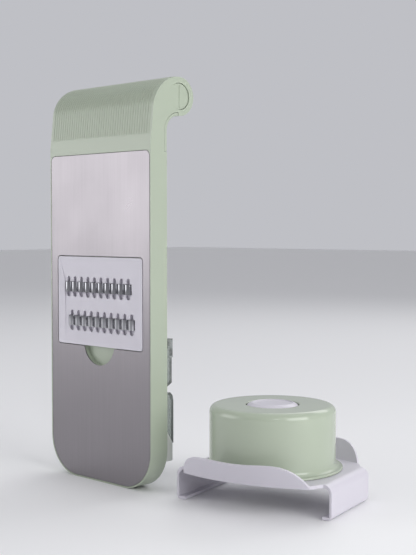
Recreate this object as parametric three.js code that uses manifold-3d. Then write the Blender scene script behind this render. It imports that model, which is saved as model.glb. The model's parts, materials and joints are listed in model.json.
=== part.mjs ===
// Upright mandoline slicer with a rear blade store, and its drum food holder standing beside it.
// Millimetres, +Z up. The origin is the middle of the board's bottom edge, halfway through its
// depth. The slicing face looks along -Y. `front` and `rear` below are the board's two faces.
import * as THREE from 'three';
import { mergeVertices } from 'three/addons/utils/BufferGeometryUtils.js';
import Module from 'manifold-3d';

const wasm = await Module();
wasm.setup();

// ---- driving dimensions -------------------------------------------------------------------------
const boardWidth = 93.5;
const boardHeight = 244.8;          // floor to the hook's crest
const boardDepth = 13;
const bottomRadius = 24;            // lower corners of the board
const rimWidth = 1;                 // plastic left round the steel panel
const panelThickness = 0.8;
const panelTopRadius = 3.5;
const panelGap = 0.25;
const webDepth = 5.4;               // front face to the floor of the rear pockets
const sideWall = 2.6;
const pocketRadius = 3;

const hookReach = 10.5;             // board's rear face to the hook tube's axis
const hookTubeRadius = 11.5;
const hookLean = 2;                 // handle's front, set back where it starts to curve over
const hookUndersideRadius = 9.3;
const handleHeight = 44.1;          // steel panel's top edge to the crest
const handleWall = 2.4;
const handleCoverThickness = 1.8;
const hookBoreRadius = 5.8;
const endCapRadius = 7.8;
const endCapThickness = 1.5;
const endCapSetback = 0.5;
const endCapPlug = 4;
const endCapSlotWidth = 0.8;
const endCapSlotDepth = 0.6;

const windowMargin = 7;             // board's side to the window
const windowHeight = 55.7;
const windowRadius = 2.5;
const seatLedge = 2.5;              // ledge behind the insert, all round
const insertGap = 0.5;
const insertThickness = 3.2;
const thumbRadius = 14.4;
const thumbDrop = 11.1;             // how far the thumb notch reaches below the window
const thumbDepth = 3.4;

const toothPitch = 6.2;
const rowRise = 8.45;               // upper row above the insert's middle
const rowDrop = 12.55;              // lower row below it
const hoopWidth = 4.4;
const hoopHeight = 2.3;
const hoopLength = 6.2;             // along the slicing direction
const stripThickness = 0.5;
const stripSink = 0.3;              // strip's flats below the insert's field
const fieldMargin = 6.65;           // insert's side to the recessed field
const fieldMarginTop = 2.5;
const fieldDepth = 0.5;
const entryWidth = 2.8;
const entryHeight = 3.5;
const exitHeight = 3.3;
const scoopDepth = 1.6;

const storeBottom = 14.6;           // rear pocket that holds the spare inserts
const storeHeadroom = 10.5;         // room above a spare insert
const storeSideGap = 1.15;          // beside a spare insert
const ribHeight = 4.9;              // rib between the store and the chute
const backCoverThickness = 1.5;
const backCoverLip = 2;
const fitGap = 0.3;
const spareThickness = 3;
const spareStep = 0.5;              // gap between the two spares
const spareBladeThickness = 0.6;
const slicingBladeMargin = 5.25;    // insert's side to the blade's end
const slicingBladeHeight = 15;
const graterMargin = 6.3;           // insert's edge to the grating plate
const graterHole = { pitchX: 9, pitchZ: 9.4, radius: 2.5 };

const doorMargin = 5.25;            // board's side to the door's side
const doorWall = 1.4;
const doorGap = 0.4;                // doors clear of the board's rear face
const doorDepth = 9.6;
const upperDoorHeight = 30.4;
const doorMeetGap = 3.8;
const hingeRadius = 3.4;            // hinge barrels
const pinRadius = 1.25;
const pinGap = 0.1;
const lugCentre = 22;
const lugWidth = 4;
const lugGap = 0.4;
const heelHeight = 11.7;            // store's floor to the heel's top, where the clear cover starts
const heelRise = 15.5;              // the joint rises this much towards the board
const heelFootHeight = 2;           // store's floor to the heel's lower rear corner

const holderPlace = { gap: 10.1, y: 33.5, turn: 13.4 };   // gap: board to saddle
const saddleGap = 0.3;              // board edge to each skirt
const saddleWall = 1.5;
const saddleLength = 51.2;
const channelHeadroom = 2.6;        // lips to plate, over the board's depth
const plateThickness = 1.9;
const saddleBend = 5;
const lipWidth = 4.2;
const lipThickness = 1.7;
const lipBend = 2.6;
const flapInset = 7.75;             // skirt's inner face to the flap's end
const flapReach = 7.4;              // skirts' ends to the flap's ends
const flapThickness = 1.7;
const flapLean = 0.6;               // outward for each millimetre of height
const flapHeight = 13;              // above the plate's underside
const flapDip = 0.8;
const flapGap = 0.8;                // drum's flange to the flap's foot
const collarThickness = 1.6;
const collarHeight = 6.8;           // above the plate
const collarGap = 0.5;

const drumRadius = 36.1;
const drumWall = 2;
const drumHeight = 36.1;            // above the plate
const drumEdgeRadius = 4;
const flangeReach = 3.9;
const flangeThickness = 1.5;
const flangeFillet = 2.5;
const wellRadius = 15.2;
const wellWall = 1.5;
const wellDepth = 11.8;
const buttonGap = 0.5;
const buttonProud = 0.9;
const buttonCrown = 2.4;            // thickness of the button's top
const buttonSkirt = 5.4;
const stemRadius = 3.1;
const stemGap = 0.4;
const pusherGap = 1;
const pusherThickness = 2.5;
const pusherClearance = 1;          // pusher below the well's floor at rest
const spikeLength = 8.5;
const spikeRadius = 1.5;
const springRadius = 5.6;
const springWire = 0.45;
const springTurns = 4;

// ---- derived sizes and places -------------------------------------------------------------------
const front = -boardDepth / 2;
const rear = boardDepth / 2;
const halfBoard = boardWidth / 2;
const panelBottom = rimWidth;
const panelTop = boardHeight - handleHeight;
const shoulderHeight = panelTop + 4.3;      // where the handle's front starts to lean back
const handleCoverBottom = panelTop - 0.4;
const panelSeat = front + panelThickness + 0.05;
const web = front + webDepth;
const hookBendRadius = boardDepth + hookReach - hookLean;   // front of the handle, up to the crest
const tube = { y: rear + hookReach, z: boardHeight - hookTubeRadius };
const bendCentre = { y: tube.y, z: boardHeight - hookBendRadius };
const underside = { y: rear + hookUndersideRadius, z: tube.z - hookTubeRadius - hookUndersideRadius };
const windowWidth = boardWidth - 2 * windowMargin;
const insertWidth = windowWidth - 2 * insertGap;
const insertHeight = windowHeight - 2 * insertGap;
const storeTop = storeBottom + 2 * fitGap + insertHeight + storeHeadroom;
const storeWidth = insertWidth + 2 * storeSideGap;
const chuteBottom = storeTop + ribHeight;
const windowBottom = chuteBottom - seatLedge - 0.1;
const chuteTop = windowBottom + windowHeight + 2.2;
const insertMiddle = windowBottom + windowHeight / 2;
const fieldWidth = insertWidth - 2 * fieldMargin;
const toothCount = Math.floor((fieldWidth - 3) / toothPitch);
const field = front + fieldDepth;
const stripFloor = field + stripSink + stripThickness;
const storeMiddle = storeBottom + fitGap + insertHeight / 2;
const backCoverBottom = chuteTop + 1.4;
const backCoverTop = panelTop - 2.7;
const bladeSpan = insertWidth - 2 * slicingBladeMargin;
const graterWidth = insertWidth - 2 * graterMargin;
const graterHeight = insertHeight - 2 * graterMargin;
const doorFront = rear + doorGap;
const doorRear = rear + doorDepth;
const doorHalf = halfBoard - doorMargin;
const doorInside = doorHalf - doorWall;
const upperPin = { y: rear + 3.8, z: storeTop + 5.7 };
const lowerPin = { y: rear + 4.5, z: storeBottom - 2.2 };
const upperDoorTop = upperPin.z + hingeRadius;
const doorMeet = upperDoorTop - upperDoorHeight;
const barrelHalf = doorHalf - 6;            // lower door's hinge barrel, shorter than the door
const heelTop = storeBottom + heelHeight;
const heelFoot = storeBottom + heelFootHeight;
const saddleInner = boardWidth + 2 * saddleGap;
const saddleOuter = saddleInner + 2 * saddleWall;
const holderX = halfBoard + saddleOuter / 2 + holderPlace.gap;
const plateUnder = lipThickness + boardDepth + channelHeadroom;
const plateTop = plateUnder + plateThickness;
const drumSeat = plateTop + 0.05;
const drumTop = plateTop + drumHeight;
const flangeRadius = drumRadius + flangeReach;
const flapHalf = saddleInner / 2 - flapInset;
const flapEnd = saddleLength / 2 + flapReach;
const flapFoot = flangeRadius + flapGap;
const throatRadius = drumRadius - drumWall - collarGap - collarThickness;
const pusherRadius = throatRadius - pusherGap;
const buttonTop = drumTop + buttonProud;
const buttonRadius = wellRadius - buttonGap;
const wellFloor = drumTop - wellDepth;
const wellUnder = wellFloor - wellWall;
const pusherTop = wellUnder - pusherClearance;
const pusherUnder = pusherTop - pusherThickness;

// ---- materials ----------------------------------------------------------------------------------
const plastic = (name, color, roughness, more = {}) =>
  new THREE.MeshStandardMaterial({ name, color, roughness, metalness: 0, ...more });
const metal = (name, color, roughness) =>
  new THREE.MeshStandardMaterial({ name, color, roughness, metalness: 1 });
const sageGreen = () => plastic('sage_plastic', 0xa8b59a, 0.32);
const white = () => plastic('white_plastic', 0xdcd9e2, 0.35);
const paleGrey = () => plastic('grey_plastic', 0xaab2a8, 0.4);
const clear = () => plastic('clear_plastic', 0xcfd8d4, 0.1, { transparent: true, opacity: 0.4 });
const brushedSteel = () => metal('brushed_steel', 0xb9b4bb, 0.34);
const bladeSteel = () => metal('blade_steel', 0xc9c9cd, 0.15);

// ---- solid helpers ------------------------------------------------------------------------------
function toSolid(geometry) {
  const bare = geometry.clone();
  bare.deleteAttribute('normal');
  bare.deleteAttribute('uv');
  const merged = mergeVertices(bare, 1e-4);
  return new wasm.Manifold(new wasm.Mesh({
    numProp: 3,
    vertProperties: new Float32Array(merged.attributes.position.array),
    triVerts: new Uint32Array(merged.index.array),
  }));
}

function toGeometry(solid) {
  const mesh = solid.getMesh();
  const geometry = new THREE.BufferGeometry();
  geometry.setAttribute('position', new THREE.BufferAttribute(new Float32Array(mesh.vertProperties), 3));
  geometry.setIndex(new THREE.BufferAttribute(new Uint32Array(mesh.triVerts), 1));
  geometry.computeVertexNormals();
  return geometry;
}

const join = (...geometries) => geometries.map(toSolid).reduce((all, next) => all.add(next));
const cut = (solid, ...geometries) => geometries.map(toSolid)
  .reduce((left, next) => left.subtract(next), solid);

// A shape drawn in (x, z), filling the depths y0 to y1.
function slabXZ(shape, y0, y1, curveSegments = 4) {
  const geometry = new THREE.ExtrudeGeometry(shape, { depth: y1 - y0, bevelEnabled: false, curveSegments });
  const axes = [new THREE.Vector3(1, 0, 0), new THREE.Vector3(0, 0, 1), new THREE.Vector3(0, -1, 0)];
  return geometry.applyMatrix4(new THREE.Matrix4().makeBasis(...axes).setPosition(0, y1, 0));
}

// A side profile drawn in (y, z), filling x0 to x1.
function slabYZ(shape, x0, x1, curveSegments = 6) {
  const geometry = new THREE.ExtrudeGeometry(shape, { depth: x1 - x0, bevelEnabled: false, curveSegments });
  const axes = [new THREE.Vector3(0, 1, 0), new THREE.Vector3(0, 0, 1), new THREE.Vector3(1, 0, 0)];
  return geometry.applyMatrix4(new THREE.Matrix4().makeBasis(...axes).setPosition(x0, 0, 0));
}

// A plan drawn in (x, y), filling the heights z0 to z1.
function slabXY(shape, z0, z1, curveSegments = 4) {
  const geometry = new THREE.ExtrudeGeometry(shape, { depth: z1 - z0, bevelEnabled: false, curveSegments });
  return geometry.translate(0, 0, z0);
}

const box = (x0, x1, y0, y1, z0, z1) => new THREE.BoxGeometry(x1 - x0, y1 - y0, z1 - z0)
  .translate((x0 + x1) / 2, (y0 + y1) / 2, (z0 + z1) / 2);
const rodX = (radius, x0, x1, y, z, sides = 20) => new THREE.CylinderGeometry(radius, radius, x1 - x0, sides)
  .rotateZ(Math.PI / 2).translate((x0 + x1) / 2, y, z);
const rodY = (radius, y0, y1, x, z, sides = 24) => new THREE.CylinderGeometry(radius, radius, y1 - y0, sides)
  .translate(x, (y0 + y1) / 2, z);

// An upright outline, symmetric in x, with its own radius at the lower and upper corners.
function uprightOutline(width, z0, z1, lowerRadius, upperRadius = lowerRadius) {
  const half = width / 2;
  const shape = new THREE.Shape();
  shape.moveTo(-half + lowerRadius, z0);
  shape.lineTo(half - lowerRadius, z0);
  shape.absarc(half - lowerRadius, z0 + lowerRadius, lowerRadius, -Math.PI / 2, 0);
  shape.lineTo(half, z1 - upperRadius);
  shape.absarc(half - upperRadius, z1 - upperRadius, upperRadius, 0, Math.PI / 2);
  shape.lineTo(-half + upperRadius, z1);
  shape.absarc(-half + upperRadius, z1 - upperRadius, upperRadius, Math.PI / 2, Math.PI);
  shape.lineTo(-half, z0 + lowerRadius);
  shape.absarc(-half + lowerRadius, z0 + lowerRadius, lowerRadius, Math.PI, Math.PI * 1.5);
  return shape;
}

function polygon(points) {
  const shape = new THREE.Shape();
  points.forEach(([u, v], i) => (i ? shape.lineTo(u, v) : shape.moveTo(u, v)));
  return shape;
}

function lathe(points, segments = 36) {
  const profile = points.map(([r, z]) => new THREE.Vector2(r, z));
  return new THREE.LatheGeometry(profile, segments).rotateX(Math.PI / 2);
}

function arcPoints(r, z, radius, from, to, steps) {
  return Array.from({ length: steps + 1 }, (_, i) => {
    const angle = from + (to - from) * i / steps;
    return [r + radius * Math.cos(angle), z + radius * Math.sin(angle)];
  });
}

const row = new THREE.Group();
const holder = new THREE.Group();
row.add(holder);
holder.position.set(holderX, holderPlace.y, 0);
holder.rotation.z = THREE.MathUtils.degToRad(holderPlace.turn);

function addPart(name, shapeOrSolid, material, group = row) {
  const geometry = shapeOrSolid.isBufferGeometry ? shapeOrSolid : toGeometry(shapeOrSolid);
  const mesh = new THREE.Mesh(geometry, material);
  mesh.name = name;
  group.add(mesh);
}

// ---- board: frame, panel, handle ----------------------------------------------------------------
// The handle's side profile; `inset` takes the rear cover's thickness off its underside.
function hookProfile(bottom, inset) {
  const edge = rear + hookUndersideRadius;
  const shape = new THREE.Shape();
  shape.moveTo(front, bottom);
  shape.lineTo(front, shoulderHeight);
  shape.lineTo(bendCentre.y - hookBendRadius, bendCentre.z);
  shape.absarc(bendCentre.y, bendCentre.z, hookBendRadius, Math.PI, Math.PI / 2, true);
  shape.absarc(tube.y, tube.z, hookTubeRadius, Math.PI / 2, -Math.PI / 2, true);
  shape.lineTo(edge + 0.2, tube.z - hookTubeRadius);
  shape.lineTo(edge + 0.2, underside.z + hookUndersideRadius + inset);
  shape.lineTo(edge, underside.z + hookUndersideRadius + inset);
  shape.absarc(underside.y, underside.z, hookUndersideRadius + inset, Math.PI / 2, Math.PI);
  shape.lineTo(rear - inset, handleCoverBottom - 0.2);
  shape.lineTo(rear, handleCoverBottom - 0.2);
  shape.lineTo(rear, bottom);
  return shape;
}

// The hollow inside the handle, open towards the rear cover.
function handleHollow() {
  const reach = hookBendRadius - handleWall;
  const shape = new THREE.Shape();
  shape.moveTo(front + handleWall + 0.2, shoulderHeight - 1);
  shape.lineTo(bendCentre.y - reach, bendCentre.z);
  shape.absarc(bendCentre.y, bendCentre.z, reach, Math.PI, Math.PI * 0.72, true);
  shape.lineTo(tube.y - hookTubeRadius + 1.4, tube.z - 5.3);
  shape.lineTo(underside.y - 6.8, underside.z + 7);
  shape.lineTo(rear - 0.8, underside.z);
  shape.lineTo(rear - 0.8, shoulderHeight - 1);
  return slabYZ(shape, -halfBoard + handleWall, halfBoard - handleWall);
}

const pinHole = (pin) => rodX(pinRadius + pinGap, -halfBoard, halfBoard, pin.y, pin.z, 12);

function hingeLug(x, pin, z0, z1) {
  const reach = box(x - lugWidth / 2, x + lugWidth / 2, rear - 2, pin.y, z0, z1);
  return join(reach, rodX(hingeRadius - 0.2, x - lugWidth / 2, x + lugWidth / 2, pin.y, pin.z));
}

const screwPlaces = [-1, 1].flatMap((side) => [backCoverBottom + 6, backCoverTop - 6]
  .map((z) => ({ x: side * (halfBoard - 8.7), z })));

function mainFrame() {
  const slab = slabXZ(uprightOutline(boardWidth, 0, handleCoverBottom - 4, bottomRadius, 0.01),
    front, rear, 5);
  let solid = join(slab, slabYZ(hookProfile(handleCoverBottom - 8, handleCoverThickness + 0.2),
    -halfBoard, halfBoard, 6));
  const seat = uprightOutline(boardWidth - 2 * (rimWidth - panelGap), panelBottom - panelGap,
    panelTop + panelGap, bottomRadius - rimWidth + panelGap, panelTopRadius + panelGap);
  const ledge = [windowWidth - 2 * seatLedge,
    windowBottom + seatLedge, windowBottom + windowHeight - seatLedge];
  const pocket = (width, z0, z1) => slabXZ(uprightOutline(width, z0, z1, pocketRadius), web, rear + 1, 1);
  const coverHole = [boardWidth - 2 * sideWall - 2 * backCoverLip,
    backCoverBottom + backCoverLip, backCoverTop - backCoverLip];
  solid = cut(solid,
    slabXZ(seat, front - 1, panelSeat, 5),
    slabXZ(uprightOutline(windowWidth, windowBottom, windowBottom + windowHeight, windowRadius),
      front, front + insertThickness + 0.05, 2),
    slabXZ(uprightOutline(ledge[0], ledge[1], ledge[2], windowRadius), front, rear, 1),
    rodY(thumbRadius, front, front + thumbDepth, 0, windowBottom - thumbDrop + thumbRadius, 32),
    pocket(storeWidth, storeBottom, storeTop),
    pocket(boardWidth - 2 * sideWall - 4, chuteBottom, chuteTop),
    pocket(...coverHole),
    slabXZ(uprightOutline(boardWidth - 2 * sideWall, backCoverBottom, backCoverTop, 3),
      rear - backCoverThickness, rear + 1, 1),
    handleHollow(),
    rodX(hookBoreRadius, -halfBoard - 1, halfBoard + 1, tube.y, tube.z),
  );
  const capSeat = endCapSetback + endCapThickness + 0.1;
  for (const side of [-1, 1]) {
    const mouth = [side * (halfBoard - capSeat), side * (halfBoard + 1)].sort((a, b) => a - b);
    solid = cut(solid, rodX(endCapRadius + 0.2, mouth[0], mouth[1], tube.y, tube.z));
    solid = solid.add(hingeLug(side * lugCentre, upperPin, storeTop + 0.8, upperPin.z + 1));
    solid = solid.add(hingeLug(side * lugCentre, lowerPin,
      lowerPin.z - hingeRadius + 0.2, storeBottom - 0.2));
  }
  for (const { x, z } of screwPlaces) {
    solid = solid.add(toSolid(rodY(3.2, web - 1, rear - backCoverThickness - 0.2, x, z, 10)));
    solid = cut(solid, rodY(1.3, web + 0.6, rear, x, z, 8));
  }
  return cut(solid, pinHole(upperPin), pinHole(lowerPin));
}

function steelPanel() {
  const outline = uprightOutline(boardWidth - 2 * rimWidth, panelBottom, panelTop,
    bottomRadius - rimWidth, panelTopRadius);
  return cut(toSolid(slabXZ(outline, front, front + panelThickness, 5)),
    slabXZ(uprightOutline(windowWidth, windowBottom, windowBottom + windowHeight, windowRadius),
      front - 1, rear, 2),
    rodY(thumbRadius, front - 1, rear, 0, windowBottom - thumbDrop + thumbRadius, 32));
}

function handleRearCover() {
  const inner = hookUndersideRadius + handleCoverThickness;
  const shape = new THREE.Shape();
  shape.moveTo(rear, handleCoverBottom);
  shape.lineTo(rear, underside.z);
  shape.absarc(underside.y, underside.z, hookUndersideRadius, Math.PI, Math.PI / 2, true);
  shape.lineTo(underside.y, underside.z + inner);
  shape.absarc(underside.y, underside.z, inner, Math.PI / 2, Math.PI);
  shape.lineTo(rear - handleCoverThickness, handleCoverBottom);
  return slabYZ(shape, -halfBoard, halfBoard);
}

function endCap(side) {
  const face = halfBoard - endCapSetback;
  const span = (from, to) => [side * from, side * to].sort((a, b) => a - b);
  const disc = rodX(endCapRadius, ...span(face - endCapThickness, face), tube.y, tube.z);
  const plug = rodX(hookBoreRadius - 0.15, ...span(face - endCapThickness - endCapPlug, face - 0.5),
    tube.y, tube.z);
  const slot = box(...span(face - endCapSlotDepth, face + 1),
    tube.y - endCapSlotWidth / 2, tube.y + endCapSlotWidth / 2,
    tube.z - endCapRadius + 1, tube.z + endCapRadius - 1);
  return cut(join(disc, plug), slot);
}

function backCover() {
  const width = boardWidth - 2 * sideWall - 2 * fitGap;
  const outline = uprightOutline(width, backCoverBottom + fitGap, backCoverTop - fitGap, 3 - fitGap);
  const cutters = screwPlaces.flatMap(({ x, z }) => [
    rodY(1.5, rear - 3, rear + 1, x, z, 8),
    rodY(2.9, rear - 0.8, rear + 1, x, z, 12)]);
  return cut(toSolid(slabXZ(outline, rear - backCoverThickness + 0.05, rear, 1)), ...cutters);
}


const screwHead = { radius: 2.6, thickness: 0.62, sunk: 0.1 };
const crossSlot = { width: 0.6, length: 3.2, depth: 0.4 };
function coverScrew({ x, z }) {
  const { radius, thickness, sunk } = screwHead;
  const { width, length, depth } = crossSlot;
  const profile = [[0, -5], [1.1, -5], [1.1, -sunk - thickness], [radius, -sunk - thickness],
    [radius, -sunk], [0, -sunk]];
  const head = lathe(profile, 12).rotateX(-Math.PI / 2).translate(x, rear, z);
  const slot = (w, h) => box(x - w / 2, x + w / 2, rear - sunk - depth, rear + 1, z - h / 2, z + h / 2);
  return cut(toSolid(head), slot(width, length), slot(length, width));
}

// ---- blade inserts ------------------------------------------------------------------------------
const insertOutline = () => uprightOutline(insertWidth, -insertHeight / 2, insertHeight / 2,
  windowRadius - insertGap);
const rows = [{ shift: -toothPitch / 4, z: rowRise }, { shift: toothPitch / 4, z: -rowDrop }];
const toothX = (shift, i) => shift + (i - (toothCount - 1) / 2) * toothPitch;

// A scoop beside a tooth: square against the blade, half round at its far end.
function scoop(x, z, width, height) {
  const direction = Math.sign(height);
  const radius = width / 2;
  const shape = new THREE.Shape();
  shape.moveTo(x - radius, z);
  shape.lineTo(x + radius, z);
  shape.lineTo(x + radius, z + height - direction * radius);
  shape.absarc(x, z + height - direction * radius, radius, 0, direction * Math.PI, direction < 0);
  return slabXZ(shape, front - 1, field + scoopDepth, 2);
}

function julienneCarrier() {
  const cutters = [box(-fieldWidth / 2, fieldWidth / 2, front - 1, field,
    -insertHeight / 2 + fieldMarginTop, insertHeight / 2 - fieldMarginTop)];
  const stripWidth = toothCount * toothPitch + 0.6;
  for (const { shift, z } of rows) {
    cutters.push(box(shift - stripWidth / 2, shift + stripWidth / 2, front - 1, stripFloor + 0.05,
      z - hoopLength / 2 - 0.2, z + hoopLength / 2 + 0.2));
    for (let i = 0; i < toothCount; i += 1) {
      const x = toothX(shift, i);
      const half = hoopWidth / 2 - stripThickness;
      const reach = hoopLength / 2 - 0.4;
      cutters.push(box(x - half, x + half, front - 1, rear, z - reach, z + reach));
      cutters.push(scoop(x, z + hoopLength / 2 - 0.5, entryWidth, entryHeight + 0.5));
      cutters.push(scoop(x, z - hoopLength / 2 + 0.5, hoopWidth, -exitHeight - 0.5));
    }
  }
  const plate = toSolid(slabXZ(insertOutline(), front, front + insertThickness, 2));
  return toGeometry(cut(plate, ...cutters)).translate(0, 0, insertMiddle);
}

// One steel strip folded into a row of hoops, drawn from above and drawn out along Z.
function bladeStrip({ shift, z }) {
  const low = stripFloor;
  const high = stripFloor - stripThickness;
  const end = toothCount * toothPitch / 2;
  const shape = new THREE.Shape();
  const hoop = (x, radius, from, to, base) => {
    shape.lineTo(x + Math.sign(Math.cos(from)) * radius, base);
    shape.absellipse(x, base, radius, hoopHeight - (hoopWidth / 2 - radius), from, to, to < from);
  };
  shape.moveTo(shift - end, high);
  for (let i = 0; i < toothCount; i += 1) {
    hoop(toothX(shift, i), hoopWidth / 2, Math.PI, Math.PI * 2, high);
  }
  shape.lineTo(shift + end, high);
  shape.lineTo(shift + end, low);
  for (let i = toothCount - 1; i >= 0; i -= 1) {
    hoop(toothX(shift, i), hoopWidth / 2 - stripThickness, 0, -Math.PI, low);
  }
  shape.lineTo(shift - end, low);
  const middle = insertMiddle + z;
  return slabXY(shape, middle - hoopLength / 2, middle + hoopLength / 2, 4);
}

const spareFace = (index) => web + fitGap + index * (spareThickness + spareStep);

function spareCarrier(index, openings) {
  const y = spareFace(index);
  const plate = toSolid(slabXZ(insertOutline(), y, y + spareThickness, 2));
  return toGeometry(cut(plate, ...openings(y))).translate(0, 0, storeMiddle);
}

function slicingOpenings(y) {
  const high = slicingBladeHeight / 2;
  return [box(-bladeSpan / 2 - fitGap, bladeSpan / 2 + fitGap, y - 1, y + spareBladeThickness + 0.1,
    -high - fitGap, high + fitGap),
  box(-bladeSpan / 2 + 3, bladeSpan / 2 - 3, y - 1, y + 9, high - 4, high + 3)];
}

function slicingBlade() {
  const y = spareFace(0);
  const high = slicingBladeHeight / 2;
  const back = y + spareBladeThickness;
  const edge = polygon([[y, -high], [y, high - 2], [y + spareBladeThickness / 2, high],
    [back, high - 2], [back, -high]]);
  return slabYZ(edge, -bladeSpan / 2, bladeSpan / 2).translate(0, 0, storeMiddle);
}

function gratingOpenings(y) {
  return [box(-graterWidth / 2 - fitGap, graterWidth / 2 + fitGap, y - 1, y + spareBladeThickness + 0.1,
    -graterHeight / 2 - fitGap, graterHeight / 2 + fitGap),
  box(-graterWidth / 2 + 2, graterWidth / 2 - 2, y - 1, y + 9, -graterHeight / 2 + 2, graterHeight / 2 - 2)];
}

function gratingPlate() {
  const y = spareFace(1);
  const columns = Math.floor((graterWidth - 3) / graterHole.pitchX);
  const rowCount = Math.floor((graterHeight - 3) / graterHole.pitchZ);
  const holes = [];
  for (let j = 0; j < rowCount; j += 1) {
    for (let i = 0; i < columns; i += 1) {
      const x = (i - (columns - 1) / 2) * graterHole.pitchX;
      const z = (j - (rowCount - 1) / 2) * graterHole.pitchZ;
      holes.push(rodY(graterHole.radius, y - 1, y + 2, x, z, 6));
    }
  }
  const sheet = box(-graterWidth / 2, graterWidth / 2, y, y + spareBladeThickness,
    -graterHeight / 2, graterHeight / 2);
  return toGeometry(cut(toSolid(sheet), ...holes)).translate(0, 0, storeMiddle);
}

// ---- blade store: doors and hinge pins ----------------------------------------------------------
function lugNotches(z0, z1) {
  const half = lugWidth / 2 + lugGap;
  return [-lugCentre, lugCentre].map((x) => box(x - half, x + half, rear, doorRear + 2, z0, z1));
}


function upperDoor() {
  const bottom = doorMeet + doorMeetGap / 2;
  const pinY = upperPin.y;
  const shell = polygon([[doorFront, bottom], [doorRear - 4.2, bottom], [doorRear - 0.8, bottom + 2],
    [doorRear - 0.8, bottom + 17], [doorRear, bottom + 17.6], [doorRear, upperDoorTop], [pinY, upperDoorTop],
    [pinY, upperPin.z - hingeRadius], [doorFront, upperPin.z - hingeRadius]]);
  const inside = polygon([[rear - 1, bottom + doorWall], [doorRear - 4.8, bottom + doorWall],
    [doorRear - 0.8 - doorWall, bottom + 2.6], [doorRear - 0.8 - doorWall, upperDoorTop - doorWall],
    [rear - 1, upperDoorTop - doorWall]]);
  const hollow = cut(toSolid(slabYZ(shell, -doorHalf, doorHalf)), slabYZ(inside, -doorInside, doorInside));
  const barrel = rodX(hingeRadius, -doorHalf, doorHalf, pinY, upperPin.z);
  return cut(hollow.add(toSolid(barrel)),
    ...lugNotches(upperPin.z - hingeRadius - 0.6, upperDoorTop + 2), pinHole(upperPin));
}

function lowerDoorCover() {
  const top = doorMeet - doorMeetGap / 2;
  const back = doorRear + 0.6;
  const shell = polygon([[doorFront, heelTop + heelRise + 0.1], [doorRear, heelTop + 0.1],
    [back, heelTop + 0.1], [back, top - 5], [back - 0.6, top - 2], [back - 2.4, top], [doorFront, top]]);
  const inside = polygon([[rear - 1, heelTop - 8], [back - doorWall, heelTop - 8], [back - doorWall, top - 5],
    [back - doorWall - 1.4, top - doorWall], [rear - 1, top - doorWall]]);
  return cut(toSolid(slabYZ(shell, -doorHalf, doorHalf)), slabYZ(inside, -doorInside, doorInside));
}

function lowerDoorHeel() {
  const pinY = lowerPin.y;
  const shell = new THREE.Shape();
  shell.moveTo(doorFront, heelTop + heelRise);
  shell.lineTo(doorFront, lowerPin.z + hingeRadius);
  shell.lineTo(pinY - hingeRadius, lowerPin.z + hingeRadius);
  shell.lineTo(pinY - hingeRadius, lowerPin.z);
  shell.absarc(pinY, lowerPin.z, hingeRadius, Math.PI, Math.PI * 2);
  shell.lineTo(doorRear - 0.2, heelFoot);
  shell.lineTo(doorRear - 0.2, heelTop);
  const inside = polygon([[rear - 1, lowerPin.z + hingeRadius + 0.8],
    [doorRear - 0.2 - doorWall, lowerPin.z + hingeRadius + 0.8],
    [doorRear - 0.2 - doorWall, heelTop + heelRise + 5], [rear - 1, heelTop + heelRise + 5]]);
  const beyondBarrel = [[-doorHalf - 1, -barrelHalf], [barrelHalf, doorHalf + 1]]
    .map(([x0, x1]) => box(x0, x1, rear, doorRear + 2, 0, lowerPin.z + hingeRadius));
  return cut(toSolid(slabYZ(shell, -doorHalf, doorHalf)), slabYZ(inside, -doorInside, doorInside),
    ...beyondBarrel, ...lugNotches(lowerPin.z - hingeRadius - 1, lowerPin.z + hingeRadius + 2),
    pinHole(lowerPin));
}

const hingePin = (pin, half) => rodX(pinRadius, -half, half, pin.y, pin.z, 12);

// ---- food holder --------------------------------------------------------------------------------
// The saddle's section: a plate with two skirts whose lips turn in under the board's edges.
function saddleSection() {
  const outer = saddleOuter / 2;
  const inner = saddleInner / 2;
  const innerBend = saddleBend - saddleWall;
  const shape = new THREE.Shape();
  shape.moveTo(-outer + saddleBend, plateTop);
  shape.lineTo(outer - saddleBend, plateTop);
  shape.absarc(outer - saddleBend, plateTop - saddleBend, saddleBend, Math.PI / 2, 0, true);
  shape.lineTo(outer, lipBend);
  shape.absarc(outer - lipBend, lipBend, lipBend, 0, -Math.PI / 2, true);
  shape.lineTo(inner - lipWidth, 0);
  shape.lineTo(inner - lipWidth, lipThickness);
  shape.lineTo(inner, lipThickness);
  shape.lineTo(inner, plateUnder - innerBend);
  shape.absarc(inner - innerBend, plateUnder - innerBend, innerBend, 0, Math.PI / 2);
  shape.lineTo(-inner + innerBend, plateUnder);
  shape.absarc(-inner + innerBend, plateUnder - innerBend, innerBend, Math.PI / 2, Math.PI);
  shape.lineTo(-inner, lipThickness);
  shape.lineTo(-inner + lipWidth, lipThickness);
  shape.lineTo(-inner + lipWidth, 0);
  shape.lineTo(-outer + lipBend, 0);
  shape.absarc(-outer + lipBend, lipBend, lipBend, -Math.PI / 2, -Math.PI, true);
  shape.lineTo(-outer, plateTop - saddleBend);
  shape.absarc(-outer + saddleBend, plateTop - saddleBend, saddleBend, Math.PI, Math.PI / 2, true);
  return slabXZ(shape, -saddleLength / 2, saddleLength / 2, 3);
}

// The arc of a flap's foot in plan, from one end to the other, bulging outward.
const flapBulge = flapFoot - flapEnd;
const flapRadius = (flapHalf * flapHalf + flapBulge * flapBulge) / (2 * flapBulge);
const flapCentre = flapRadius - flapFoot;
const flapSpread = Math.asin(flapHalf / flapRadius);

function flapPlan() {
  const shape = new THREE.Shape();
  const from = -Math.PI / 2 - flapSpread;
  const to = -Math.PI / 2 + flapSpread;
  shape.absarc(0, flapCentre, flapRadius, from, to);
  shape.absarc(0, flapCentre, flapRadius - flapThickness, to, from, true);
  return shape;
}

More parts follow.
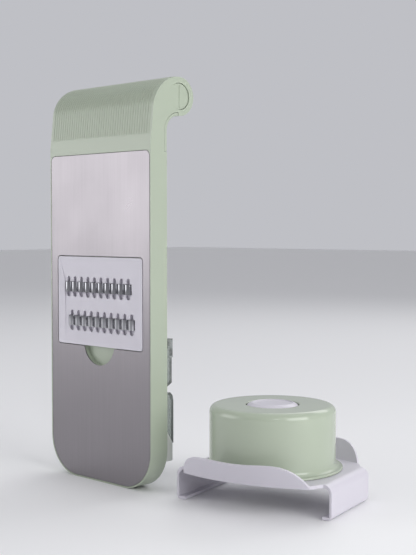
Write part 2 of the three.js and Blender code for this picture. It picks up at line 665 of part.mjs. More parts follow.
// The plate between the skirts and a flap's foot.
function tonguePlan() {
  const shape = new THREE.Shape();
  const corner = saddleInner / 2 - saddleBend + saddleWall;
  shape.moveTo(-corner, -saddleLength / 2 + 1);
  shape.lineTo(-corner, -saddleLength / 2);
  shape.absarc(0, flapCentre, flapRadius, -Math.PI / 2 - flapSpread, -Math.PI / 2 + flapSpread);
  shape.lineTo(corner, -saddleLength / 2);
  shape.lineTo(corner, -saddleLength / 2 + 1);
  return shape;
}

// A flap's front view: rounded ends, and a top edge that dips in the middle.
function flapFace() {
  const top = plateUnder + flapHeight;
  const shoulder = flapHalf - 17.3;
  const dip = top - flapDip;
  const shape = new THREE.Shape();
  shape.moveTo(-flapHalf, plateUnder);
  shape.lineTo(flapHalf, plateUnder);
  shape.bezierCurveTo(flapHalf - 1.3, plateUnder + 4.7, flapHalf - 6.3, top, shoulder, top);
  shape.bezierCurveTo(shoulder * 0.55, top, shoulder * 0.4, dip, 0, dip);
  shape.bezierCurveTo(-shoulder * 0.4, dip, -shoulder * 0.55, top, -shoulder, top);
  shape.bezierCurveTo(-flapHalf + 6.3, top, -flapHalf + 1.3, plateUnder + 4.7, -flapHalf, plateUnder);
  return slabXZ(shape, -saddleLength, 0, 7);
}

const rodZ = (radius, z0, z1, sides) => new THREE.CylinderGeometry(radius, radius, z1 - z0, sides)
  .rotateX(Math.PI / 2).translate(0, 0, (z0 + z1) / 2);

function saddle() {
  const tongue = slabXY(tonguePlan(), plateUnder, plateTop, 9);
  const upright = toSolid(slabXY(flapPlan(), plateUnder, plateUnder + flapHeight + 1, 9));
  const lean = new THREE.Matrix4().makeShear(0, 0, 0, 0, 0, -flapLean)
    .setPosition(0, flapLean * plateUnder, 0);
  const wall = toGeometry(upright.intersect(toSolid(flapFace()))).applyMatrix4(lean);
  const frontEnd = join(wall, tongue);
  const rearEnd = toSolid(toGeometry(frontEnd).rotateZ(Math.PI));
  const collar = toSolid(rodZ(throatRadius + collarThickness, plateUnder, plateTop + collarHeight, 36));
  const body = toSolid(saddleSection()).add(frontEnd).add(rearEnd).add(collar);
  return cut(body, rodZ(throatRadius, 0, plateTop + collarHeight + 1, 36));
}

function drum() {
  const inside = drumRadius - drumWall;
  const flangeTop = drumSeat + flangeThickness;
  const fillet = drumRadius + flangeFillet;
  return lathe([
    [inside, drumSeat], [flangeRadius - 0.4, drumSeat], [flangeRadius, drumSeat + 0.5],
    [flangeRadius, flangeTop - 0.3], [flangeRadius - 0.4, flangeTop],
    ...arcPoints(fillet, flangeTop + flangeFillet, flangeFillet, -Math.PI / 2, -Math.PI, 3),
    ...arcPoints(drumRadius - drumEdgeRadius, drumTop - drumEdgeRadius, drumEdgeRadius, 0, Math.PI / 2, 4),
    [wellRadius + 0.4, drumTop], [wellRadius, drumTop - 0.4], [wellRadius, wellFloor],
    [stemRadius + stemGap, wellFloor], [stemRadius + stemGap, wellUnder],
    [wellRadius + wellWall, wellUnder], [wellRadius + wellWall, drumTop - drumWall],
    ...arcPoints(inside - 2, drumTop - drumWall - 2, 2, Math.PI / 2, 0, 2),
    [inside, drumSeat],
  ]);
}

function button() {
  const under = buttonTop - buttonCrown;
  return lathe([
    [0, pusherTop], [stemRadius, pusherTop], [stemRadius, under], [buttonRadius - 1.4, under],
    [buttonRadius - 1.4, buttonTop - buttonSkirt], [buttonRadius, buttonTop - buttonSkirt],
    [buttonRadius, buttonTop - 1.8], [buttonRadius - 0.6, buttonTop - 1], [buttonRadius - 3, buttonTop],
    [buttonRadius - 3.5, buttonTop - 0.4], [0, buttonTop - 0.5],
  ], 28);
}

// The return spring stands on the well's floor, round the stem, and holds the button up.
function returnSpring() {
  const low = wellFloor + springWire + 0.05;
  const high = buttonTop - buttonCrown - springWire - 0.05;
  class Helix extends THREE.Curve {
    getPoint(t) {
      const angle = t * springTurns * Math.PI * 2;
      return new THREE.Vector3(springRadius * Math.cos(angle), springRadius * Math.sin(angle),
        low + (high - low) * t);
    }
  }
  const wire = new THREE.Shape().absarc(0, 0, springWire, 0, Math.PI * 2);
  return new THREE.ExtrudeGeometry(wire, {
    steps: springTurns * 12, curveSegments: 2, extrudePath: new Helix(),
  });
}

function spikedPusher() {
  const disc = lathe([[0, pusherUnder], [pusherRadius - 0.6, pusherUnder], [pusherRadius, pusherUnder + 0.6],
    [pusherRadius, pusherTop - 0.3], [pusherRadius - 0.3, pusherTop - 0.05], [0, pusherTop - 0.05]], 28);
  const spike = (x, y) => new THREE.CylinderGeometry(spikeRadius, 0.25, spikeLength + 0.5, 6)
    .rotateX(Math.PI / 2).translate(x, y, pusherUnder - (spikeLength - 0.5) / 2);
  const outerRing = pusherRadius - 7;
  const rings = [{ radius: outerRing / 2, count: 6 }, { radius: outerRing, count: 12 }];
  const spikes = rings.flatMap(({ radius, count }) => Array.from({ length: count }, (_, i) => {
    const angle = (i + 0.5) * Math.PI * 2 / count;
    return spike(radius * Math.cos(angle), radius * Math.sin(angle));
  }));
  const screwHole = new THREE.CylinderGeometry(4, 4, 2, 16).rotateX(Math.PI / 2).translate(0, 0, pusherUnder);
  return join(disc, ...spikes).subtract(toSolid(screwHole));
}

// The screw that holds the pusher to the stem, its head in the pusher's underside.
const pusherScrew = () => lathe([[0, pusherUnder - 0.6], [3, pusherUnder - 0.6], [3.6, pusherUnder],
  [3.6, pusherUnder + 0.9], [0, pusherUnder + 0.9]], 14);

// ---- assembly -----------------------------------------------------------------------------------
addPart('main_frame', mainFrame(), sageGreen());
addPart('steel_panel', steelPanel(), brushedSteel());
addPart('handle_rear_cover', handleRearCover(), sageGreen());
addPart('hook_end_cap_right', endCap(1), sageGreen());
addPart('hook_end_cap_left', endCap(-1), sageGreen());
addPart('back_cover', backCover(), sageGreen());
screwPlaces.forEach((place, i) => addPart(`back_cover_screw_${i + 1}`, coverScrew(place), bladeSteel()));
addPart('julienne_carrier', julienneCarrier(), white());
addPart('julienne_blade_upper', bladeStrip(rows[0]), bladeSteel());
addPart('julienne_blade_lower', bladeStrip(rows[1]), bladeSteel());
addPart('slicing_carrier', spareCarrier(0, slicingOpenings), white());
addPart('slicing_blade', slicingBlade(), bladeSteel());
addPart('grating_carrier', spareCarrier(1, gratingOpenings), white());
addPart('grating_plate', gratingPlate(), bladeSteel());
addPart('upper_door', upperDoor(), clear());
addPart('upper_hinge_pin', hingePin(upperPin, doorHalf), bladeSteel());
addPart('lower_door_cover', lowerDoorCover(), clear());
addPart('lower_door_heel', lowerDoorHeel(), paleGrey());
addPart('lower_hinge_pin', hingePin(lowerPin, barrelHalf + 2.5), bladeSteel());
addPart('holder_saddle', saddle(), white(), holder);
addPart('holder_drum', drum(), sageGreen(), holder);
addPart('holder_button', button(), white(), holder);
addPart('holder_spring', returnSpring(), bladeSteel(), holder);
addPart('spiked_pusher', spikedPusher(), white(), holder);
addPart('pusher_screw', pusherScrew(), bladeSteel(), holder);

export default row;
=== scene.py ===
import json
import math

import bmesh
import bpy
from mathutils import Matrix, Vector


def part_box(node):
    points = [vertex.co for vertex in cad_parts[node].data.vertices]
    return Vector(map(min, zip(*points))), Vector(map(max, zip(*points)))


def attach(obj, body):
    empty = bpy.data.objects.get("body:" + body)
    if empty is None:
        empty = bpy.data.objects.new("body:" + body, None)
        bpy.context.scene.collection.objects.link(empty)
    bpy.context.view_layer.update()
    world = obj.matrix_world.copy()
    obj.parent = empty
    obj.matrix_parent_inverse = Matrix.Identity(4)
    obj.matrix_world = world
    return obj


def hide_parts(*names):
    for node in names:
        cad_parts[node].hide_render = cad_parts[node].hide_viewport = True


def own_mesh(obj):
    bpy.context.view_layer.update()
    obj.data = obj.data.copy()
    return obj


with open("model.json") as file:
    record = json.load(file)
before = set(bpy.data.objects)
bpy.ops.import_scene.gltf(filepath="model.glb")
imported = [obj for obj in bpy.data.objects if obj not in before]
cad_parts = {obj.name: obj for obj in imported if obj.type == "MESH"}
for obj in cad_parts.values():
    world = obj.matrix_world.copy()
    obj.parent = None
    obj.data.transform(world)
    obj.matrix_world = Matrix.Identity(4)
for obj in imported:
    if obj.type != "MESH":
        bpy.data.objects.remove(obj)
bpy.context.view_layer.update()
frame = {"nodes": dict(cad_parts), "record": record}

scene = bpy.context.scene
MM = 0.001

# ---- sizes ----------------------------------------------------------------------------------
# The handle's outline, as in the CAD.
HANDLE_HEIGHT = 44.1 * MM       # the steel panel's top edge to the crest
SHOULDER = 4.3 * MM             # above the panel, where the handle starts to lean back
HOOK_REACH = 23.5 * MM          # the board's front face to the hook tube's axis
HOOK_BEND = 21.5 * MM           # radius of the handle's front as it curls over
HOOK_TUBE = 11.5 * MM

RIB_COUNT = 42
RIB_MARGIN = 2.4 * MM           # the board's side to the first rib's middle
RIB_START = 7.4 * MM            # above the panel
RIB_HEIGHT = 0.3 * MM
RIB_SINK = 1.3                  # how far a rib's ends dive below the surface, in rib heights
RIB_FILL = 0.74                 # rib width over rib pitch
RIB_OVER_TUBE = 60              # degrees past the crest
SCREW_COUNT = 4
RIB_SECTION = [(-0.5, -0.5), (-0.42, 0.25), (-0.22, 0.85), (0, 1),
               (0.22, 0.85), (0.42, 0.25), (0.5, -0.5)]
LEAN_STEPS, BEND_STEPS, TUBE_STEPS = 10, 24, 8
FADE_IN_STEPS, FADE_OUT_STEPS = 2, 3

FIELD_MARGIN = 6.65 * MM        # the insert's side to its recessed field
FIELD_MARGIN_TOP = 2.5 * MM
FIELD_SLOPE = 4.9 * MM          # width of the slope down to the field, at the sides
FIELD_SLOPE_TOP = 1.8 * MM

DRUM_WALL = 36.1 * MM           # radii of the drum's wall, outside and inside
DRUM_INNER = 34.1 * MM
DRUM_EDGE = 4 * MM
DRUM_TOP_THICKNESS = 2 * MM
DRUM_INNER_EDGE = 2 * MM
FLANGE_THICKNESS = 1.5 * MM
FLANGE_ROUND_INSET = 0.6 * MM
FLANGE_FILLET = 2.6 * MM
WELL_RADIUS = 15.2 * MM
WELL_DEPTH = 11.8 * MM
WELL_WALL = 1.5 * MM
WELL_LIP = 0.7 * MM
WELL_FILLET = 0.5 * MM
STEM_HOLE = 3.5 * MM

STEM_RADIUS = 3.1 * MM
CROWN_THICKNESS = 2.4 * MM
SKIRT_DEPTH = 5.4 * MM
SKIRT_WALL = 1.4 * MM
SKIRT_ROUND = 0.3 * MM
# The button's bevelled rim: (in from its side, down from its top), in millimetres.
RIM_STEPS = [(0, 1.9), (0.12, 1.6), (0.4, 1.25), (0.9, 0.85), (2, 0.32)]
RIM_WIDTH = 3 * MM
RIM_ROUND = 0.25 * MM
# The shallow dish inside the rim: (in from the rim, down from the top), in millimetres.
DISH_STEPS = [(0.5, 0.45), (3, 0.55)]
DISH_DEPTH = 0.6 * MM

MERGE = 0.01 * MM               # points closer than this are one point
FLAT_ANGLE = 0.6                # degrees; facets that turn less than this are one face
OUTLINE_ANGLE = 60              # degrees; a plate's outline turns more than this
ON_AXIS = 1e-7                  # a radius under this is a point on the axis

# ---- colours, noise scales and roughness spreads --------------------------------------------
SAGE = (0.40, 0.452, 0.362)
WHITE = (0.60, 0.578, 0.64)
GREY = (0.68, 0.70, 0.67)
PANEL_STEEL = (0.25, 0.235, 0.25)
BLADE_STEEL = (0.36, 0.36, 0.38)
CLEAR = (0.66, 0.70, 0.68)

FLOW_MARKS = 22
GLOSS_MARKS = 60
MOULD_GRAIN = 2600
GLOSS_SPREAD = 0.025            # of the plastics
SOFT_RAMP = (0.15, 0.85)        # a ramp this wide keeps the marks faint
FIRM_RAMP = (0.3, 0.7)
BRUSH_LINES = 900
BRUSH_PATCHES = 26
STEEL_GLOSS_DROP, STEEL_GLOSS_RISE = 0.03, 0.04
SINK_MARKS = 60
SMEARS = 140
SMEAR_GLOSS_RISE = 0.08
DARKER = 0.95                   # the darker tone of steel and of clear plastic

# ---- stage, lights and camera ---------------------------------------------------------------
FLOOR_HALF = 6.0
FLOOR_DROP = 0.2 * MM           # keeps the floor clear of the feet that stand on it
FLOOR_COLOUR = (0.86, 0.86, 0.87)
FLOOR_ROUGHNESS = 0.6
FLOOR_SPECULAR = 0.25

SKY_POWER = 0.45
SKY_SPREAD = 70                 # degrees
SKY_DIRECTION = (0.2, -0.1, -1)
AREA_LIGHTS = [                 # name, place, aimed at, size, power
    ("key", (1.05, 0.0, 0.42), (0.06, 0, 0.1), (0.7, 0.7), 8),
    ("fill", (-0.85, -0.95, 0.4), (0, 0, 0.12), (1.0, 0.75), 6.5),
    ("window", (0.95, -0.75, 0.75), (0.1, 0.03, 0.05), (0.12, 0.16), 1.4),
    ("back", (-0.2, 1.2, 0.95), (0.05, 0, 0.12), (1.2, 0.5), 4),
]
WORLD_COLOUR = (0.93, 0.94, 1.0)
WORLD_DARK_SIDE = (0.72, -0.69, 0)
WORLD_RANGE = (-0.6, 0.7)       # from the pale side to the dark side
WORLD_STRENGTH = (0.56, 0.14)

CAMERA_PLACE = (0.5059, -0.4337, 0.1553)
CAMERA_HEADING = 44.04          # degrees
CAMERA_TILT = 2.59              # downwards
CAMERA_LENS = 70.17             # millimetres
CAMERA_SENSOR = 36
CAMERA_CLIP = (0.01, 50)


# ---- materials ------------------------------------------------------------------------------
def new_material(name):
    material = bpy.data.materials.new(name)
    material.use_nodes = True
    nodes = material.node_tree.nodes
    return material, nodes, material.node_tree.links, nodes["Principled BSDF"]


def noise(nodes, links, scale, detail, stretch=(1, 1, 1)):
    """The factor of a noise texture in object coordinates, stretched by `stretch`."""
    place = nodes.new("ShaderNodeTexCoord")
    mapping = nodes.new("ShaderNodeMapping")
    mapping.inputs["Scale"].default_value = stretch
    texture = nodes.new("ShaderNodeTexNoise")
    texture.inputs["Scale"].default_value = scale
    texture.inputs["Detail"].default_value = detail
    links.new(place.outputs["Object"], mapping.inputs["Vector"])
    links.new(mapping.outputs["Vector"], texture.inputs["Vector"])
    return texture.outputs["Fac"]


def ramp(nodes, links, source, low, high, span=FIRM_RAMP):
    """Maps a texture's factor to values or colours between `low` and `high`."""
    node = nodes.new("ShaderNodeValToRGB")
    for element, position, value in zip(node.color_ramp.elements, span, (low, high)):
        element.position = position
        element.color = (*value, 1) if isinstance(value, tuple) else (value, value, value, 1)
    links.new(source, node.inputs["Fac"])
    return node.outputs["Color"]


def add_bump(nodes, links, shader, source, strength, distance):
    bump = nodes.new("ShaderNodeBump")
    bump.inputs["Strength"].default_value = strength
    bump.inputs["Distance"].default_value = distance
    links.new(source, bump.inputs["Height"])
    links.new(bump.outputs["Normal"], shader.inputs["Normal"])


def scaled(colour, factor):
    return tuple(c * factor for c in colour)


def moulded_plastic(name, colour, roughness, bump=0.1, vary=0.025):
    """Satin moulded plastic: faint flow marks in colour and gloss, and a fine moulded grain."""
    material, nodes, links, shader = new_material(name)
    flow = noise(nodes, links, FLOW_MARKS, detail=1.5)
    tone = ramp(nodes, links, flow, scaled(colour, 1 - vary), scaled(colour, 1 + vary), SOFT_RAMP)
    links.new(tone, shader.inputs["Base Color"])
    marks = noise(nodes, links, GLOSS_MARKS, detail=2)
    gloss = ramp(nodes, links, marks, roughness - GLOSS_SPREAD, roughness + GLOSS_SPREAD, SOFT_RAMP)
    links.new(gloss, shader.inputs["Roughness"])
    grain = noise(nodes, links, MOULD_GRAIN, detail=2)
    add_bump(nodes, links, shader, grain, strength=bump, distance=0.03 * MM)
    shader.inputs["Specular IOR Level"].default_value = 0.5
    return material


def brushed_steel(name, colour, roughness, stretch, brush):
    """Stainless sheet with fine straight brush lines; `stretch` turns the noise into lines."""
    material, nodes, links, shader = new_material(name)
    shader.inputs["Metallic"].default_value = 1
    lines = noise(nodes, links, BRUSH_LINES, detail=6, stretch=stretch)
    tone = ramp(nodes, links, lines, scaled(colour, DARKER), colour)
    links.new(tone, shader.inputs["Base Color"])
    patches = noise(nodes, links, BRUSH_PATCHES, detail=3)
    gloss = ramp(nodes, links, patches, roughness - STEEL_GLOSS_DROP, roughness + STEEL_GLOSS_RISE)
    links.new(gloss, shader.inputs["Roughness"])
    add_bump(nodes, links, shader, lines, strength=brush, distance=0.02 * MM)
    shader.inputs["Anisotropic"].default_value = 0.4
    return material


def clear_plastic(name, tint, roughness):
    """Clear moulded plastic with a trace of tint and faint sink marks."""
    material, nodes, links, shader = new_material(name)
    flow = noise(nodes, links, SINK_MARKS, detail=3)
    links.new(ramp(nodes, links, flow, scaled(tint, DARKER), tint), shader.inputs["Base Color"])
    smears = noise(nodes, links, SMEARS, detail=4)
    gloss = ramp(nodes, links, smears, roughness, roughness + SMEAR_GLOSS_RISE)
    links.new(gloss, shader.inputs["Roughness"])
    add_bump(nodes, links, shader, flow, strength=0.1, distance=0.1 * MM)
    shader.inputs["IOR"].default_value = 1.5
    shader.inputs["Transmission Weight"].default_value = 0.85
    return material


sage = moulded_plastic("sage_moulding", SAGE, 0.3)
sage_polished = moulded_plastic("sage_polished_moulding", SAGE, 0.17, bump=0.05)
white = moulded_plastic("white_moulding", WHITE, 0.34, vary=0.03)
grey = moulded_plastic("grey_moulding", GREY, 0.4)
panel_steel = brushed_steel("panel_steel", PANEL_STEEL, 0.3, (1, 1, 0.02), 0.1)
blade_steel = brushed_steel("blade_steel", BLADE_STEEL, 0.06, (1, 1, 0.05), 0.08)
clear = clear_plastic("clear_moulding", CLEAR, 0.06)


# ---- piece helpers --------------------------------------------------------------------------
def body_name(node):
    bodies = frame["record"]["behaviour"]["bodies"]
    return next(body for body, nodes in bodies.items() if node in nodes)


def declare(piece, node, material):
    """The piece stands for a CAD node: it takes the given material, rides on that node's body and
    hides the node.
    """
    piece.data.materials.clear()
    piece.data.materials.append(material)
    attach(piece, body_name(node))
    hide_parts(node)


def object_from(bm, name):
    bmesh.ops.recalc_face_normals(bm, faces=bm.faces)
    mesh = bpy.data.meshes.new(name)
    bm.to_mesh(mesh)
    bm.free()
    piece = bpy.data.objects.new(name, mesh)
    scene.collection.objects.link(piece)
    mesh.polygons.foreach_set("use_smooth", [True] * len(mesh.polygons))
    return piece


def soften(piece, width, segments=2, angle=30):
    """Rounds the piece's edges and keeps its flat faces flat in shading."""
    bevel = piece.modifiers.new("rounded_edges", "BEVEL")
    bevel.width = width
    bevel.segments = segments
    bevel.limit_method = "ANGLE"
    bevel.angle_limit = math.radians(angle)
    bevel.use_clamp_overlap = True
    normals = piece.modifiers.new("flat_faces", "WEIGHTED_NORMAL")
    normals.keep_sharp = True


def weigh_outline(bm, node):
    """Marks a plate's outer outline for rounding and leaves its holes' edges sharp."""
    low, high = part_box(node)
    near = 0.02 * MM

    def on_side(co):
        return min(co.x - low.x, high.x - co.x, co.z - low.z, high.z - co.z) < near

    weights = bm.edges.layers.float.new("bevel_weight_edge")
    for edge in bm.edges:
        outer = all(on_side(v.co) for v in edge.verts)
        if outer and edge.calc_face_angle(0) > math.radians(OUTLINE_ANGLE):
            edge[weights] = 1


def refined(node, name, material, width=0.3 * MM, segments=2, angle=30, reshape=None,
            outline_only=False):
    """A CAD node's own shape with its facets joined into clean faces and its edges rounded."""
    bm = bmesh.new()
    bm.from_mesh(frame["nodes"][node].data)
    bmesh.ops.remove_doubles(bm, verts=bm.verts, dist=MERGE)
    if reshape:
        reshape(bm)
    bmesh.ops.dissolve_limit(bm, angle_limit=math.radians(FLAT_ANGLE), verts=bm.verts,
                             edges=bm.edges)
    if outline_only:
        weigh_outline(bm, node)
    piece = object_from(bm, name)
    soften(piece, width, segments, angle)
    if outline_only:
        piece.modifiers["rounded_edges"].limit_method = "WEIGHT"
    declare(piece, node, material)
    return piece


def middle_and_radius(node):
    low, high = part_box(node)
    return (low + high) / 2, (high.x - low.x) / 2


def turned(profile, centre, name, segments=128):
    """A closed profile of (radius, height) points turned about the upright line at centre."""
    bm = bmesh.new()
    rings = []
    for radius, height in profile:
        if radius < ON_AXIS:
            rings.append([bm.verts.new((centre.x, centre.y, height))])
            continue
        turns = [2 * math.pi * i / segments for i in range(segments)]
        rings.append([bm.verts.new((centre.x + radius * math.cos(angle),
                                    centre.y + radius * math.sin(angle), height))
                      for angle in turns])
    pairs = list(zip(rings, rings[1:]))
    if len(rings[0]) > 1 and len(rings[-1]) > 1:
        pairs.append((rings[-1], rings[0]))
    for a, b in pairs:
        for i in range(segments):
            j = (i + 1) % segments
            corners = [a[i % len(a)], a[j % len(a)], b[j % len(b)], b[i % len(b)]]
            face = list(dict.fromkeys(corners))
            if len(face) > 2:
                bm.faces.new(face)
    return object_from(bm, name)


def arc(cx, cz, radius, start, end, steps):
    """Points along an arc; angles in degrees."""
    points = []
    for i in range(steps + 1):
        angle = math.radians(start + (end - start) * i / steps)
        points.append((cx + radius * math.cos(angle), cz + radius * math.sin(angle)))
    return points


# ---- board ----------------------------------------------------------------------------------
refined("main_frame", "frame_shell", sage, 0.5 * MM, segments=3)
refined("steel_panel", "slicing_face", panel_steel, 0.18 * MM)
refined("handle_rear_cover", "handle_cover", sage)
for side in ("right", "left"):
    refined(f"hook_end_cap_{side}", f"hook_plug_{side}", sage, 0.25 * MM)
refined("back_cover", "back_panel", sage, outline_only=True)
for number in range(1, SCREW_COUNT + 1):
    refined(f"back_cover_screw_{number}", f"back_screw_{number}", blade_steel, 0.12 * MM, angle=40)


def rib_path(front, crest):
    """(point, outward normal) pairs in the YZ plane: up the handle's front and over its crest."""
    bend = Vector((0, front + HOOK_REACH, crest - HOOK_BEND))
    tube = Vector((0, front + HOOK_REACH, crest - HOOK_TUBE))
    shoulder = Vector((0, front, crest - HANDLE_HEIGHT + SHOULDER))
    lean_end = Vector((0, bend.y - HOOK_BEND, bend.z))
    lean = (lean_end - shoulder).normalized()
    start = shoulder + lean * (RIB_START - SHOULDER)
    out = Vector((0, -lean.z, lean.y))
    path = [(start.lerp(lean_end, i / LEAN_STEPS), out) for i in range(LEAN_STEPS)]
    over_bend = [180 - 90 * i / BEND_STEPS for i in range(BEND_STEPS + 1)]
    over_tube = [90 - RIB_OVER_TUBE * i / TUBE_STEPS for i in range(1, TUBE_STEPS + 1)]
    for centre, radius, angles in ((bend, HOOK_BEND, over_bend), (tube, HOOK_TUBE, over_tube)):
        for angle in map(math.radians, angles):
            normal = Vector((0, math.cos(angle), math.sin(angle)))
            path.append((centre + normal * radius, normal))
    return path


def handle_ribs():
    """Fine half-round ribs that run up the handle's front and over its crest."""
    low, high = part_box("main_frame")
    path = rib_path(low.y, high.z)
    pitch = (high.x - low.x - 2 * RIB_MARGIN) / (RIB_COUNT - 1)
    corners = len(RIB_SECTION)
    bm = bmesh.new()
    for row in range(RIB_COUNT):
        x = low.x + RIB_MARGIN + row * pitch
        loops = []
        for i, (point, normal) in enumerate(path):
            fade = min(1, i / FADE_IN_STEPS, (len(path) - 1 - i) / FADE_OUT_STEPS)
            loop = []
            for across, up in RIB_SECTION:
                lift = (up * fade - RIB_SINK * (1 - fade)) * RIB_HEIGHT
                loop.append(bm.verts.new((x + across * pitch * RIB_FILL,
                                          point.y + normal.y * lift,
                                          point.z + normal.z * lift)))
            loops.append(loop)
        for a, b in zip(loops, loops[1:]):
            for i in range(corners):
                j = (i + 1) % corners
                bm.faces.new((a[i], a[j], b[j], b[i]))
        bm.faces.new(loops[0])
        bm.faces.new(loops[-1])
    piece = object_from(bm, "handle_ribs")
    piece.data.materials.append(sage)
    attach(piece, "board")


handle_ribs()


# ---- inserts --------------------------------------------------------------------------------
def slope_field_edges(bm):
    """Turns the straight step round the insert's recessed field into a mitred slope."""
    low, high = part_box("julienne_carrier")
    middle = (low + high) / 2
    half_width = (high.x - low.x) / 2 - FIELD_MARGIN
    half_height = (high.z - low.z) / 2 - FIELD_MARGIN_TOP
    near = 0.05 * MM
    for vert in bm.verts:
        off = vert.co - middle
        at_side = abs(abs(off.x) - half_width) < near
        at_end = abs(abs(off.z) - half_height) < near
        if at_side and at_end and abs(vert.co.y - low.y) < near:
            vert.co.x += math.copysign(FIELD_SLOPE, off.x)
            vert.co.z += math.copysign(FIELD_SLOPE_TOP, off.z)
    rim = [f for f in bm.faces if all(abs(v.co.y - low.y) < near for v in f.verts)]
    bmesh.ops.delete(bm, geom=rim, context="FACES_ONLY")
    open_edges = [e for e in bm.edges if e.is_boundary]
    bmesh.ops.triangle_fill(bm, edges=open_edges, use_beauty=True, normal=(0, -1, 0))


refined("julienne_carrier", "julienne_plate", white, 0.18 * MM, reshape=slope_field_edges)
for row in ("upper", "lower"):
    refined(f"julienne_blade_{row}", f"julienne_hoops_{row}", blade_steel, 0.06 * MM,
            segments=1, angle=50)
refined("slicing_carrier", "slicing_plate", white)
refined("slicing_blade", "straight_blade", blade_steel, 0.08 * MM, segments=1)
refined("grating_carrier", "grating_frame", white)
refined("grating_plate", "grating_sheet", blade_steel, 0.1 * MM)

# ---- blade store ----------------------------------------------------------------------------
refined("upper_door", "upper_clear_door", clear, 0.35 * MM)
refined("lower_door_cover", "lower_clear_cover", clear, 0.22 * MM)
refined("lower_door_heel", "lower_heel", grey, 0.35 * MM)
for door in ("upper", "lower"):
    refined(f"{door}_hinge_pin", f"{door}_pin", blade_steel, 0.25 * MM)

# ---- food holder ----------------------------------------------------------------------------
refined("holder_saddle", "saddle_shell", white, 0.4 * MM, segments=3)
refined("spiked_pusher", "pusher_disc", white, 0.12 * MM, angle=50)
refined("pusher_screw", "pusher_fixing", blade_steel, 0.15 * MM)


def return_spring():
    """The return spring in steel, with a mesh of its own; nothing here squeezes it as the button
    goes down.
    """
    piece = refined("holder_spring", "return_spring", blade_steel, 0.02 * MM, segments=1, angle=80)
    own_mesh(piece)


def drum_piece():
    low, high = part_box("holder_drum")
    middle, flange_radius = middle_and_radius("holder_drum")
    bottom, top = low.z, high.z
    flange_top = bottom + FLANGE_THICKNESS
    floor_top = top - WELL_DEPTH
    floor_under = floor_top - WELL_WALL
    ceiling = top - DRUM_TOP_THICKNESS
    lip = FLANGE_THICKNESS / 2
    profile = [(DRUM_INNER, bottom)]
    profile += arc(flange_radius - FLANGE_ROUND_INSET, bottom + lip, lip, -90, 90, 8)
    profile += arc(DRUM_WALL + FLANGE_FILLET, flange_top + FLANGE_FILLET, FLANGE_FILLET,
                   270, 180, 10)
    profile += arc(DRUM_WALL - DRUM_EDGE, top - DRUM_EDGE, DRUM_EDGE, 0, 90, 14)
    profile += arc(WELL_RADIUS + WELL_LIP, top - WELL_LIP, WELL_LIP, 90, 180, 6)
    profile += arc(WELL_RADIUS - WELL_FILLET, floor_top + WELL_FILLET, WELL_FILLET, 0, -90, 4)
    profile += [(STEM_HOLE, floor_top), (STEM_HOLE, floor_under),
                (WELL_RADIUS + WELL_WALL, floor_under), (WELL_RADIUS + WELL_WALL, ceiling)]
    profile += arc(DRUM_INNER - DRUM_INNER_EDGE, ceiling - DRUM_INNER_EDGE, DRUM_INNER_EDGE,
                   90, 0, 6)
    piece = turned(profile, middle, "drum_shell")
    soften(piece, 0.1 * MM, segments=1, angle=50)
    declare(piece, "holder_drum", sage_polished)


def button_piece():
    low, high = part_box("holder_button")
    middle, radius = middle_and_radius("holder_button")
    bottom, top = low.z, high.z
    under = top - CROWN_THICKNESS
    skirt_end = top - SKIRT_DEPTH
    rim = radius - RIM_WIDTH
    profile = [(0, bottom), (STEM_RADIUS, bottom), (STEM_RADIUS, under),
               (radius - SKIRT_WALL, under), (radius - SKIRT_WALL, skirt_end)]
    profile += arc(radius - SKIRT_ROUND, skirt_end + SKIRT_ROUND, SKIRT_ROUND, -90, 0, 3)
    profile += [(radius - inset * MM, top - drop * MM) for inset, drop in RIM_STEPS]
    profile += arc(rim, top - RIM_ROUND, RIM_ROUND, 70, 180, 8)
    profile += [(rim - inset * MM, top - drop * MM) for inset, drop in DISH_STEPS]
    profile += [(0, top - DISH_DEPTH)]
    piece = turned(profile, middle, "push_button", segments=96)
    soften(piece, 0.05 * MM, segments=1, angle=60)
    declare(piece, "holder_button", white)


return_spring()
drum_piece()
button_piece()


# ---- stage, light, camera -------------------------------------------------------------------
def floor():
    material, _, _, shader = new_material("pale_floor")
    shader.inputs["Base Color"].default_value = (*FLOOR_COLOUR, 1)
    shader.inputs["Roughness"].default_value = FLOOR_ROUGHNESS
    shader.inputs["Specular IOR Level"].default_value = FLOOR_SPECULAR
    bm = bmesh.new()
    corners = [(-1, -1), (1, -1), (1, 1), (-1, 1)]
    bm.faces.new([bm.verts.new((x * FLOOR_HALF, y * FLOOR_HALF, 0)) for x, y in corners])
    piece = object_from(bm, "floor")
    piece.location.z = -FLOOR_DROP
    piece.data.materials.append(material)


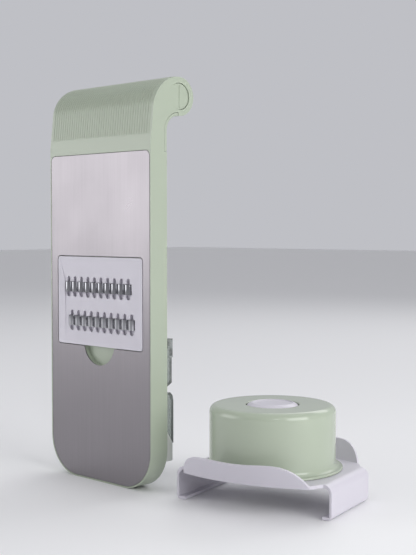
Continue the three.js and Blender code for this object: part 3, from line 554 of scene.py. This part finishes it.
def aim(thing, direction):
    thing.rotation_mode = "QUATERNION"
    thing.rotation_quaternion = Vector(direction).to_track_quat("-Z", "Y")
    scene.collection.objects.link(thing)


def sky_light():
    data = bpy.data.lights.new("sky", "SUN")
    data.energy = SKY_POWER
    data.angle = math.radians(SKY_SPREAD)
    aim(bpy.data.objects.new("sky", data), SKY_DIRECTION)


def area_light(name, place, target, size, power):
    data = bpy.data.lights.new(name, "AREA")
    data.shape = "RECTANGLE"
    data.size, data.size_y = size
    data.energy = power
    light = bpy.data.objects.new(name, data)
    light.location = place
    aim(light, Vector(target) - Vector(place))


def camera():
    data = bpy.data.cameras.new("camera")
    data.sensor_width = CAMERA_SENSOR
    data.lens = CAMERA_LENS
    data.clip_start, data.clip_end = CAMERA_CLIP
    cam = bpy.data.objects.new("camera", data)
    cam.location = CAMERA_PLACE
    heading, tilt = math.radians(CAMERA_HEADING), math.radians(CAMERA_TILT)
    aim(cam, (-math.sin(heading) * math.cos(tilt), math.cos(heading) * math.cos(tilt),
              -math.sin(tilt)))
    scene.camera = cam


def studio_world():
    """Pale on one side of the object and darker on the other, so polished metal has contrast."""
    world = bpy.data.worlds.new("studio")
    world.use_nodes = True
    nodes, links = world.node_tree.nodes, world.node_tree.links
    place = nodes.new("ShaderNodeTexCoord")
    side = nodes.new("ShaderNodeVectorMath")
    side.operation = "DOT_PRODUCT"
    side.inputs[1].default_value = WORLD_DARK_SIDE
    spread = nodes.new("ShaderNodeMapRange")
    spread.inputs["From Min"].default_value, spread.inputs["From Max"].default_value = WORLD_RANGE
    spread.inputs["To Min"].default_value, spread.inputs["To Max"].default_value = WORLD_STRENGTH
    background = nodes["Background"]
    background.inputs["Color"].default_value = (*WORLD_COLOUR, 1)
    links.new(place.outputs["Generated"], side.inputs[0])
    links.new(side.outputs["Value"], spread.inputs["Value"])
    links.new(spread.outputs["Result"], background.inputs["Strength"])
    scene.world = world


floor()
sky_light()
for light_settings in AREA_LIGHTS:
    area_light(*light_settings)
camera()
studio_world()
scene.view_settings.view_transform = "Standard"
